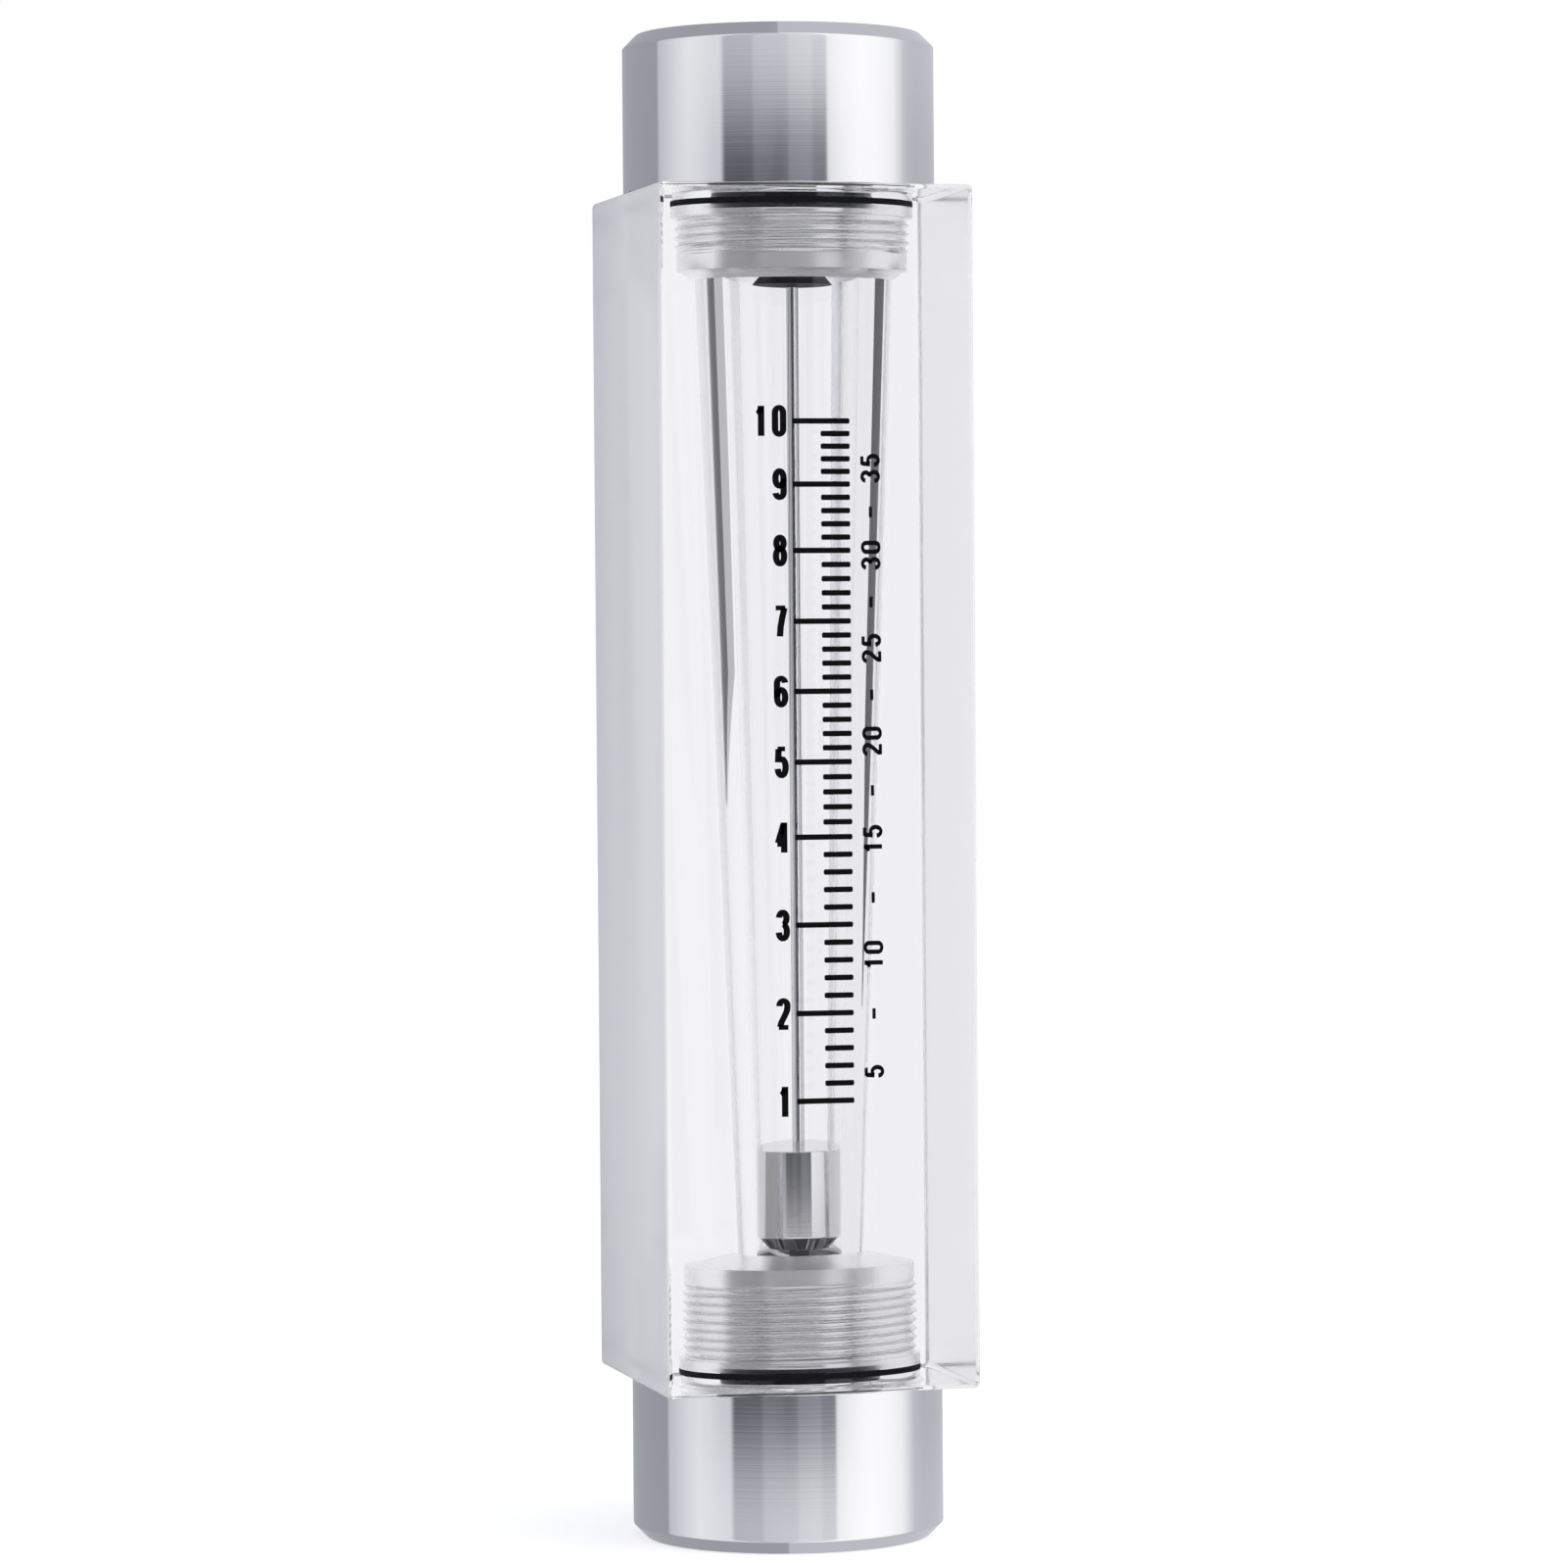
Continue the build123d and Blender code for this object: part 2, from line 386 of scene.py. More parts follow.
def feed(nodes, shader, **links):
    """Links signals to inputs of the Principled shader."""
    for name, signal in links.items():
        nodes.tree.links.new(signal.socket, shader.socket.node.inputs[name.replace("_", " ")])


def object_coordinates(nodes):
    """The place on the piece as a vector, in metres."""
    return nodes.add("ShaderNodeTexCoord").output("Object")


def split_place(nodes):
    """X, Y and Z on the piece, in metres."""
    split = nodes.add("ShaderNodeSeparateXYZ", None, {"Vector": object_coordinates(nodes)})
    return split, split.output("Y"), split.output("Z")


# %% [markdown]
# ### Clear acrylic
#
# The bar is polished in front, behind and at its ends. Its left side keeps the satin of
# the milling cutter, its right side keeps a trace of it, and the threaded bores with
# their shoulders look milky for the same reason. The roughness is near zero where the
# block is polished and higher where a cutter left its marks. On the two sides a second,
# pale shader is mixed in, for the light that such a skin scatters back at once. On the
# left it acts only on light from outside, so that the view through the bore stays clear.
# Its colour carries painted shade: white at the front and greyer towards the back, where
# less light falls.

# %% Clear acrylic
ACRYLIC_TINT = (0.985, 0.985, 1.0, 1.0)
ACRYLIC_IOR = 1.49
SKIN_DEPTH = 0.3 * MM
LEFT_ROUGHNESS = 0.35
RIGHT_ROUGHNESS = 0.15
THREAD_ROUGHNESS = 0.3
THREAD_ZONE_RADIUS = LAND_RADIUS + 1.5 * MM
RING_ZONE = 3.0 * MM
LEFT_SCATTER = 0.8
RIGHT_SCATTER = 0.14
# The satin's colour at the front and at the back: the grey at the back is painted shade.
SATIN_FRONT = (1.0, 1.0, 1.0, 1.0)
SATIN_SHADED_BACK = (0.76, 0.76, 0.79, 1.0)


def clear_acrylic():
    material, nodes, shader = new_finish(
        "clear_acrylic", Base_Color=ACRYLIC_TINT, Transmission_Weight=1.0, IOR=ACRYLIC_IOR,
    )
    x, y, z = split_place(nodes)
    on_left = x < SKIN_DEPTH - BLOCK_HALF
    on_right = x > BLOCK_HALF - SKIN_DEPTH
    foot = LOWER_PLATE_TOP + LOWER_RISE
    head = UPPER_PLATE_BOTTOM - UPPER_RISE
    beyond_bore = (z - (foot + head) / 2).math("ABSOLUTE") > (head - foot) / 2
    from_middle = (z - (BLOCK_BOTTOM + BLOCK_TOP) / 2).math("ABSOLUTE")
    past_ring = from_middle < (BLOCK_TOP - BLOCK_BOTTOM) / 2 - RING_ZONE
    near_axis = (x * x + y * y).math("SQRT") < THREAD_ZONE_RADIUS
    in_thread = beyond_bore * past_ring * near_axis
    rough = on_left * LEFT_ROUGHNESS + on_right * RIGHT_ROUGHNESS + in_thread * THREAD_ROUGHNESS
    feed(nodes, shader, Roughness=rough)

    # Painted shade: the satin goes from white at the front to grey at the back.
    towards_back = y / (2 * BLOCK_HALF) + 0.5
    stops = [(0.0, SATIN_FRONT), (1.0, SATIN_SHADED_BACK)]
    tone = nodes.add("ShaderNodeValToRGB", {"stops": stops}, {"Fac": towards_back})
    skin = {"Base Color": tone, "Roughness": 0.8, "Specular IOR Level": 0.2}
    satin = nodes.add("ShaderNodeBsdfPrincipled", None, skin)
    from_outside = 1 - nodes.add("ShaderNodeNewGeometry").output("Backfacing")
    scatter = on_left * from_outside * LEFT_SCATTER + on_right * RIGHT_SCATTER
    mixed = nodes.add("ShaderNodeMixShader", None, {0: scatter, 1: shader, 2: satin})
    surface = material.node_tree.get_output_node("ALL").inputs["Surface"]
    nodes.tree.links.new(mixed.socket, surface)
    return material


acrylic = clear_acrylic()

# %% [markdown]
# ### Turned stainless steel
#
# A lathe tool leaves fine rings, so the light smears along the axis and stays sharp
# around it. A noise that changes fast with height and slowly across, fed to a Bump
# node, gives that smear.

# %% Turned stainless steel
STEEL_BLUE = 1.015
RINGS_PER_METRE = 3000
WAVES_ACROSS = 8
CLOUDS_PER_METRE = 60.0
CLOUD_ROUGHNESS = 0.04


def noise(nodes, vector, scale, detail):
    inputs = {"Vector": vector, "Scale": scale, "Detail": detail}
    return nodes.add("ShaderNodeTexNoise", None, inputs)


def bumps(nodes, height, distance, strength):
    inputs = {"Strength": strength, "Distance": distance, "Height": height}
    return nodes.add("ShaderNodeBump", None, inputs)


def turned_steel(name, tone, roughness, ring_depth):
    """Steel of a grey tone with fine rings of a depth in metres."""
    colour = (tone, tone, tone * STEEL_BLUE, 1.0)
    material, nodes, shader = new_finish(name, Metallic=1.0, Base_Color=colour)
    x, y, z = split_place(nodes)
    stretched = {"X": x * WAVES_ACROSS, "Y": y * WAVES_ACROSS, "Z": z * RINGS_PER_METRE}
    rings = noise(nodes, nodes.add("ShaderNodeCombineXYZ", None, stretched), 1.0, 2.0)
    clouds = noise(nodes, object_coordinates(nodes), CLOUDS_PER_METRE, 3.0)
    rough = roughness + CLOUD_ROUGHNESS * clouds
    feed(nodes, shader, Normal=bumps(nodes, rings, ring_depth, 1.0), Roughness=rough)
    return material


collar_steel = turned_steel("turned_stainless", 0.72, 0.03, 0.0006 * MM)
ground_steel = turned_steel("ground_stainless", 0.66, 0.03, 0.0004 * MM)
plate_steel = turned_steel("plate_stainless", 0.7, 0.3, 0.002 * MM)

# %% [markdown]
# ### Rubber, black plastic and ink

# %% Dark finishes
DARK_BLUE = 1.05
SPECKS_PER_METRE = 2500.0
SPECK_ROUGHNESS = 0.1
SPECK_STRENGTH = 0.4


def dark_finish(name, tone, roughness, grain, shine):
    """A near-black finish with a grain of a height in metres."""
    colour = (tone, tone, tone * DARK_BLUE, 1.0)
    material, nodes, shader = new_finish(name, Base_Color=colour, Specular_IOR_Level=shine)
    specks = noise(nodes, object_coordinates(nodes), SPECKS_PER_METRE, 2.0)
    rough = roughness + SPECK_ROUGHNESS * specks
    feed(nodes, shader, Normal=bumps(nodes, specks, grain, SPECK_STRENGTH), Roughness=rough)
    return material


rubber = dark_finish("black_rubber", 0.002, 0.5, 0.01 * MM, shine=0.02)
polymer = dark_finish("black_polymer", 0.003, 0.5, 0.006 * MM, shine=0.02)
ink = dark_finish("scale_ink", 0.002, 0.6, 0.005 * MM, shine=0.08)
print("finishes:", ", ".join(sorted(material.name for material in bpy.data.materials)))

# %% [markdown]
# ## The clear block
#
# The outside is a box with small rounded edges. A thin inset border round each flat
# face keeps the flat shaded flat right up to the rounding, which matters here because
# a bent normal would bend the view through it. The bore is spun from its profile, and
# the two are joined by flat rings at the ends, so the block is one closed skin with air
# outside it and inside the bore.

# %% The block's outside
PRINT_DEPTH = 0.03 * MM
END_GAP = 0.03 * MM
EDGE_STEPS = 5
BORDER = 0.15 * MM
SMALLEST_FLAT = 0.02


def block_shell(bm):
    """Adds the open-ended outside of the block and returns its two end loops."""
    height = BLOCK_TOP - BLOCK_BOTTOM - 2 * END_GAP
    size = Vector((2 * BLOCK_HALF, 2 * BLOCK_HALF - PRINT_DEPTH, height))
    centre = Vector((0, PRINT_DEPTH / 2, (BLOCK_BOTTOM + BLOCK_TOP) / 2))
    place = Matrix.Translation(centre) @ Matrix.Diagonal((*size, 1))
    bmesh.ops.create_cube(bm, size=1, matrix=place)
    bmesh.ops.bevel(
        bm, geom=bm.edges[:], offset=BLOCK_EDGE, segments=EDGE_STEPS, profile=0.5, affect="EDGES",
    )
    bm.normal_update()
    flats = [f for f in bm.faces if f.calc_area() > SMALLEST_FLAT * size.x * size.y]
    bmesh.ops.inset_individual(bm, faces=flats, thickness=BORDER)
    ends = [f for f in flats if abs(f.normal.z) > 0.99]
    loops = [list(f.edges) for f in sorted(ends, key=lambda f: f.calc_center_median().z)]
    bmesh.ops.delete(bm, geom=ends, context="FACES_ONLY")
    return loops


# %% The bore's profile
LAND_CLEARANCE = 0.1 * MM
THREAD_CLEARANCE = 0.05 * MM
ENTRY_CHAMFER = 0.6 * MM
THREAD_ROWS = THREAD_PITCH / 24
BORE_ROWS = 4 * MM
land_bore = LAND_RADIUS + LAND_CLEARANCE
thread_bore = THREAD_RADIUS + THREAD_CLEARANCE
land_depth = LAND_LENGTH + LAND_CLEARANCE


def end_bore(mouth, shoulder):
    """The profile of one threaded end, from its mouth in to its shoulder."""
    inwards = 1 if shoulder > mouth else -1
    land_end = mouth + inwards * land_depth
    close = CLOSE_ROW * inwards
    thread_start = (thread_bore, land_end + close)
    thread_end = (thread_bore, shoulder - close)
    profile = [(land_bore + ENTRY_CHAMFER, mouth), (land_bore, mouth + inwards * ENTRY_CHAMFER)]
    profile += [(land_bore, land_end - close), (land_bore, land_end), (thread_bore, land_end)]
    profile += with_rows(thread_start, thread_end, THREAD_ROWS) + [thread_end]
    profile += [(thread_bore, shoulder), (thread_bore - LEDGE, shoulder)]
    return profile


lower_end = end_bore(BLOCK_BOTTOM + END_GAP, LOWER_PLATE_TOP + END_GAP)
upper_end = end_bore(BLOCK_TOP - END_GAP, UPPER_PLATE_BOTTOM - END_GAP)
bore_foot = (BORE_BOTTOM_RADIUS, LOWER_PLATE_TOP + END_GAP + LOWER_RISE)
bore_head = (BORE_TOP_RADIUS, UPPER_PLATE_BOTTOM - END_GAP - UPPER_RISE)
bore_wall = with_rows(bore_foot, bore_head, BORE_ROWS) + [bore_head]
bore_profile = lower_end + bore_wall + upper_end[::-1]
print("bore profile has", len(bore_profile), "rows")

# %% The whole block
BORE_SIDES = 192
BLOCK_THREAD_DEPTH = 0.5 * MM


def clear_block():
    bm = bmesh.new()
    bottom_loop, top_loop = block_shell(bm)
    rings = spin_profile(bm, bore_profile, BORE_SIDES, closed=False)
    for loop, ring in ((bottom_loop, rings[0]), (top_loop, rings[-1])):
        mouth = [bm.edges.get((ring[i - 1], ring[i])) for i in range(len(ring))]
        bmesh.ops.triangle_fill(bm, edges=loop + mouth, use_beauty=True)
    return finished_mesh(bm, "clear_block")


block = clear_block()
lower_thread = (BLOCK_BOTTOM + land_depth, LOWER_PLATE_BOTTOM)
upper_thread = (UPPER_PLATE_TOP, BLOCK_TOP - land_depth)
for bottom, top in (lower_thread, upper_thread):
    cut_thread(block, acrylic, thread_bore, bottom, top, BLOCK_THREAD_DEPTH)
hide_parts("meter_body")
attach(block, "housing")
report(block)

# %% [markdown]
# ## End fittings
#
# Each fitting is a collar with a pipe thread inside, a land with a groove for the
# sealing ring, and a threaded spigot that screws into the block. Both are spun from one
# profile. The upper one is the same profile with its heights counted down from the top.

# %% Fitting profile
PORT_RADIUS = 14.7 * MM
PORT_DEPTH = 20.0 * MM
PORT_COUNTERSINK = 2.2 * MM
PASSAGE_RADIUS = 13.0 * MM
COLLAR_CHAMFER = 2.2 * MM
GROOVE_OFFSET = 1.25 * MM
GROOVE_WIDTH = 2.3 * MM
GROOVE_DEPTH = 2.2 * MM
PIPE_PITCH = INCH / 11.5
PIPE_ROWS = PIPE_PITCH / 12
TURNED_EDGE = 0.2 * MM
groove_radius = LAND_RADIUS - GROOVE_DEPTH


def fitting_profile(spigot_length):
    """Closed (radius, height) profile, with height counted from the port's mouth."""
    land_end = COLLAR_LENGTH + LAND_LENGTH
    spigot_end = COLLAR_LENGTH + spigot_length
    groove_start = COLLAR_LENGTH + GROOVE_OFFSET
    groove_end = groove_start + GROOVE_WIDTH
    outside = softened([
        (PORT_RADIUS + PORT_COUNTERSINK, 0), (COLLAR_RADIUS - COLLAR_CHAMFER, 0),
        (COLLAR_RADIUS, COLLAR_CHAMFER), (COLLAR_RADIUS, COLLAR_LENGTH),
        (LAND_RADIUS, COLLAR_LENGTH), (LAND_RADIUS, groove_start),
        (groove_radius, groove_start), (groove_radius, groove_end), (LAND_RADIUS, groove_end),
        (LAND_RADIUS, land_end), (THREAD_RADIUS, land_end),
    ], TURNED_EDGE)
    thread_start = (THREAD_RADIUS, land_end + CLOSE_ROW)
    thread_end = (THREAD_RADIUS, spigot_end - CLOSE_ROW)
    thread = with_rows(thread_start, thread_end, THREAD_ROWS) + [thread_end]
    nose = [(THREAD_RADIUS - CLOSE_ROW, spigot_end), (PASSAGE_RADIUS, spigot_end)]
    passage = [(PASSAGE_RADIUS, PORT_DEPTH + PORT_RADIUS - PASSAGE_RADIUS)]
    port_end = (PORT_RADIUS, PORT_COUNTERSINK)
    port = with_rows((PORT_RADIUS, PORT_DEPTH), port_end, PIPE_ROWS) + [port_end]
    return outside[1:-3] + thread + nose + passage + port


# %% Make both fittings
LARGE_SIDES = 160
SPIGOT_THREAD_DEPTH = 0.9 * MM
PIPE_THREAD_DEPTH = 1.2 * MM


def fitting(name, node, spigot_length, from_top):
    profile = fitting_profile(spigot_length)
    if from_top:
        profile = [(radius, METER_HEIGHT - height) for radius, height in profile]
    piece = lathe(name, profile, LARGE_SIDES)

    def heights(low, high):
        return (METER_HEIGHT - high, METER_HEIGHT - low) if from_top else (low, high)

    spigot = heights(COLLAR_LENGTH + LAND_LENGTH, COLLAR_LENGTH + spigot_length)
    port = heights(PORT_COUNTERSINK, PORT_DEPTH)
    cut_thread(piece, collar_steel, THREAD_RADIUS, *spigot, SPIGOT_THREAD_DEPTH)
    cut_thread(piece, collar_steel, PORT_RADIUS, *port, PIPE_THREAD_DEPTH, PIPE_PITCH)
    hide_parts(node)
    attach(piece, "housing")
    report(piece)


inlet_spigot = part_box("inlet_fitting")[1].z - BLOCK_BOTTOM
outlet_spigot = BLOCK_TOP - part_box("outlet_fitting")[0].z
fitting("inlet_turned_fitting", "inlet_fitting", inlet_spigot, from_top=False)
fitting("outlet_turned_fitting", "outlet_fitting", outlet_spigot, from_top=True)

# %% [markdown]
# ## Sealing rings
#
# A rubber ring squeezed against clear plastic touches it along a flat band, and there
# it shows black and full width, because no air is left to mirror the light. The ring's
# flattened outside therefore reaches a hair into the block.

# %% Sealing rings
RING_SQUEEZE = 0.05 * MM
RING_CLEARANCE = 0.05 * MM
RING_CORNERS = 28
RING_FLATNESS = 0.4


def sealing_ring(name, node):
    low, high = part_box(node)
    middle = (low.z + high.z) / 2
    half = (high.z - low.z) / 2
    outer = land_bore + RING_SQUEEZE
    inner = groove_radius + RING_CLEARANCE
    centre = (outer + inner) / 2
    reach = (outer - inner) / 2
    profile = []
    for step in range(RING_CORNERS):
        a = 2 * math.pi * step / RING_CORNERS
        flat = math.copysign(abs(math.cos(a)) ** RING_FLATNESS, math.cos(a))
        profile.append((centre + reach * flat, middle + half * math.sin(a)))
    piece = lathe(name, profile, LARGE_SIDES)
    piece.data.materials.append(rubber)
    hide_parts(node)
    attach(piece, "housing")
    report(piece)


sealing_ring("inlet_sealing_ring", "inlet_o_ring")
sealing_ring("outlet_sealing_ring", "outlet_o_ring")

# %% [markdown]
# ## Float, rod and stops
#
# The float is a plain cylinder with a chamfer below. It and the rod mirror the studio
# in upright bands, so both are spun again with many sides and softened edges.

# %% Sizes of the float, rod and stops
float_low, float_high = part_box("metering_float")
rod_low, rod_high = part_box("guide_rod")
stop_low, stop_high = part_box("upper_float_stop")
sleeve_low, sleeve_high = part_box("lower_float_stop")
FLOAT_RADIUS = float_high.x
FLOAT_CHAMFER_WIDTH = 2.8 * MM
FLOAT_CHAMFER_HEIGHT = 2.2 * MM
FLOAT_CLEARANCE = 0.05 * MM
FLOAT_EDGE = 0.15 * MM
ROD_RADIUS = rod_high.x
ROD_END_RADIUS = 1.2 * MM
STOP_RADIUS = stop_high.x
STOP_HUB_RADIUS = 2.4 * MM
STOP_BEVEL_WIDTH = 1.9 * MM
STOP_BEVEL_HEIGHT = 1.5 * MM
STOP_CLEARANCE = 0.03 * MM
SLEEVE_RADIUS = sleeve_high.x
SMALL_EDGE = 0.1 * MM
float_bore = ROD_RADIUS + FLOAT_CLEARANCE
stop_bore = ROD_RADIUS + STOP_CLEARANCE
stop_shoulder = stop_low.z + STOP_BEVEL_HEIGHT
print("float is", round(2 * FLOAT_RADIUS / MM, 2), "mm across")


# %% Float, rod and stops
def small_turned_piece(name, node, profile, edge, material, body="housing", segments=96):
    piece = lathe(name, softened(profile, edge), segments)
    piece.data.materials.append(material)
    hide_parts(node)
    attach(piece, body)
    report(piece)


small_turned_piece(
    "steel_float", "metering_float",
    [
        (float_bore, float_low.z), (FLOAT_RADIUS - FLOAT_CHAMFER_WIDTH, float_low.z),
        (FLOAT_RADIUS, float_low.z + FLOAT_CHAMFER_HEIGHT), (FLOAT_RADIUS, float_high.z),
        (float_bore, float_high.z),
    ],
    FLOAT_EDGE, ground_steel, body="float", segments=LARGE_SIDES,
)
small_turned_piece(
    "steel_rod", "guide_rod",
    [
        (0, rod_low.z), (ROD_END_RADIUS, rod_low.z), (ROD_END_RADIUS, LOWER_PLATE_TOP),
        (ROD_RADIUS, LOWER_PLATE_TOP), (ROD_RADIUS, UPPER_PLATE_BOTTOM),
        (ROD_END_RADIUS, UPPER_PLATE_BOTTOM), (ROD_END_RADIUS, rod_high.z), (0, rod_high.z),
    ],
    SMALL_EDGE, ground_steel,
)
small_turned_piece(
    "upper_stop_disc", "upper_float_stop",
    [
        (stop_bore, stop_low.z), (STOP_RADIUS, stop_low.z),
        (STOP_RADIUS - STOP_BEVEL_WIDTH, stop_shoulder), (STOP_HUB_RADIUS, stop_shoulder),
        (STOP_HUB_RADIUS, stop_high.z), (stop_bore, stop_high.z),
    ],
    SMALL_EDGE, polymer,
)
small_turned_piece(
    "lower_stop_sleeve", "lower_float_stop",
    [
        (stop_bore, sleeve_low.z), (SLEEVE_RADIUS, sleeve_low.z),
        (SLEEVE_RADIUS, sleeve_high.z), (stop_bore, sleeve_high.z),
    ],
    SMALL_EDGE, polymer,
)

# %% [markdown]
# The guide plates, nuts and lock washers keep the shapes that they came with and only
# get a finish.

# %% Plates, nuts and washers
for node in ("lower_guide_plate", "upper_guide_plate", "lower_rod_nut", "upper_rod_nut",
             "lower_lock_washer", "upper_lock_washer"):
    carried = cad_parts[node]
    carried.data.materials.clear()
    carried.data.materials.append(plate_steel)
    print(node, "wears", plate_steel.name)

# %% [markdown]
# ## The printed scale
#
# The scale is ink on the front face. Its marks are bars of one size at unequal heights,
# so a Geometry Nodes tree makes one bar with round corners and puts a copy on each
# vertex of a mesh that holds nothing but heights. The long marks and the short marks
# are two runs of the same tree with another length.

# %% Heights of the marks
# Height of each whole reading above the inlet's mouth, from 1 to 10, in millimetres.
READING_HEIGHTS = (71.7, 85.5, 99.4, 113.2, 125.0, 136.1, 147.1, 158.2, 168.6, 178.5)
STEPS_PER_READING = 5
FACE_Y = -BLOCK_HALF
MARK_RIGHT = 5.0 * MM
LONG_MARK = 9.3 * MM
SHORT_MARK = 4.7 * MM
MARK_HEIGHT = 0.87 * MM


def height_of(reading):
    """Height of a reading on the scale, in metres, straight between whole readings."""
    whole = min(int(reading), len(READING_HEIGHTS) - 1)
    low, high = READING_HEIGHTS[whole - 1], READING_HEIGHTS[whole]
    return (low + (high - low) * (reading - whole)) * MM


readings = [1 + step / STEPS_PER_READING for step in range(9 * STEPS_PER_READING + 1)]
long_readings = readings[::STEPS_PER_READING]
short_readings = [r for i, r in enumerate(readings) if i % STEPS_PER_READING]
print(len(long_readings), "long marks and", len(short_readings), "short marks")

# %% The scale-mark tree
CORNER_POINTS = 3
CORNER_SHARE = 0.3
WELD_DISTANCE = 1e-7
mark_tree, tree, given = new_tree("scale_marks", ("Length", "Thickness", "Ink depth"))
length, thickness = given.output("Length"), given.output("Thickness")
size = {"Width": length, "Height": thickness}
outline = tree.add("GeometryNodeCurvePrimitiveQuadrilateral", None, size)
corners = {"Curve": outline, "Count": CORNER_POINTS, "Radius": thickness * CORNER_SHARE}
softer = tree.add("GeometryNodeFilletCurve", {"mode": "POLY"}, corners)
sheet = tree.add("GeometryNodeFillCurve", {"mode": "NGONS"}, {"Curve": softer})
thick = {"Mesh": sheet, "Offset Scale": given.output("Ink depth")}
solid = tree.add("GeometryNodeExtrudeMesh", None, thick)
flipped = tree.add("GeometryNodeFlipFaces", None, {"Mesh": sheet})
closed = tree.add("GeometryNodeJoinGeometry")
mark_tree.links.new(solid.socket, closed.socket.node.inputs[0])
mark_tree.links.new(flipped.socket, closed.socket.node.inputs[0])
weld = {"Geometry": closed, "Distance": WELD_DISTANCE}
welded = tree.add("GeometryNodeMergeByDistance", None, weld)
centred = tree.add("ShaderNodeCombineXYZ", None, {"X": length * -0.5})
moved = tree.add("GeometryNodeTransform", None, {"Geometry": welded, "Translation": centred})
quarter_turn = {"Geometry": moved, "Rotation": (math.pi / 2, 0, 0)}
upright = tree.add("GeometryNodeTransform", None, quarter_turn)
copies = tree.add("GeometryNodeInstanceOnPoints", None, {"Points": given, "Instance": upright})
end_tree(tree, given, copies)
print("mark tree has", len(mark_tree.nodes), "nodes")

# %% Long and short marks
INK_DEPTH = 0.05 * MM


def scale_marks(name, marks, length):
    mesh = bpy.data.meshes.new(name)
    points = [(MARK_RIGHT, FACE_Y + INK_DEPTH, height_of(reading)) for reading in marks]
    mesh.from_pydata(points, [], [])
    piece = add_object(name, mesh)
    values = {"Length": length, "Thickness": MARK_HEIGHT, "Ink depth": INK_DEPTH}
    run_tree(piece, mark_tree, values | {"Material": ink})
    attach(piece, "housing")
    report(piece)


scale_marks("scale_long_marks", long_readings, LONG_MARK)
scale_marks("scale_short_marks", short_readings, SHORT_MARK)

# %% [markdown]
# ### Numerals
#
# The numerals are narrow and bold. Each is drawn as a few strokes on a square from
# (0, 0) to (1, 1), and the strokes are swept with a flat pen. The square is then squeezed
# to the height and width of a numeral, which leaves the upright parts thicker than the
# level ones, as in a drawn letter.

# %% Strokes of the numerals
def arc(centre, reach, start, end, steps=14):
    """Points along part of an ellipse, with angles in degrees."""
    (x, y), (wide, tall) = centre, reach
    angles = [math.radians(start + (end - start) * step / steps) for step in range(steps + 1)]
    return [(x + wide * math.cos(a), y + tall * math.sin(a)) for a in angles]


top_arc = arc((0.5, 0.79), (0.5, 0.21), 180, 0)
low_bowl = arc((0.5, 0.29), (0.5, 0.29), 90, 450, 32)
high_bowl = arc((0.5, 0.77), (0.44, 0.23), 90, 450, 32)
six_stem = [(0, 0.29), (0, 0.6)] + arc((0.5, 0.79), (0.5, 0.21), 180, 10)
STROKES = {
    "0": [top_arc + arc((0.5, 0.21), (0.5, 0.21), 0, -180) + [(0, 0.5), (0, 0.79)]],
    "1": [[(0.62, -0.06), (0.62, 1.06)], [(0.1, 0.77), (0.3, 0.79), (0.5, 0.86), (0.6, 0.98)]],
    "2": [top_arc + [(0.93, 0.62), (0.6, 0.4), (0.25, 0.2), (0.08, 0.02)], [(-0.1, 0), (1.1, 0)]],
    "3": [arc((0.5, 0.77), (0.46, 0.23), 175, -90), arc((0.5, 0.27), (0.5, 0.27), 90, -175)],
    "4": [
        [(0.72, 1.04), (-0.02, 0.3)], [(-0.12, 0.25), (1.12, 0.25)],
        [(0.74, -0.06), (0.74, 1.06)],
    ],
    "5": [
        [(0.95, 1), (0.0, 1)], [(0.14, 1.0), (0.06, 0.5)],
        arc((0.5, 0.32), (0.5, 0.32), 140, -170),
    ],
    "6": [low_bowl, six_stem],
    "7": [[(-0.1, 1), (1.1, 1)], [(0.98, 1.0), (0.7, 0.62), (0.5, 0.3), (0.42, -0.06)]],
    "8": [low_bowl, high_bowl],
    "9": [[(1 - x, 1 - y) for x, y in stroke] for stroke in (low_bowl, six_stem)],
    "-": [[(-0.1, 0.5), (1.1, 0.5)]],
}
print("strokes for", *STROKES)

# %% Sweeping a stroke
SAME_PLACE = 1e-6
SHARPEST_CORNER = 0.5


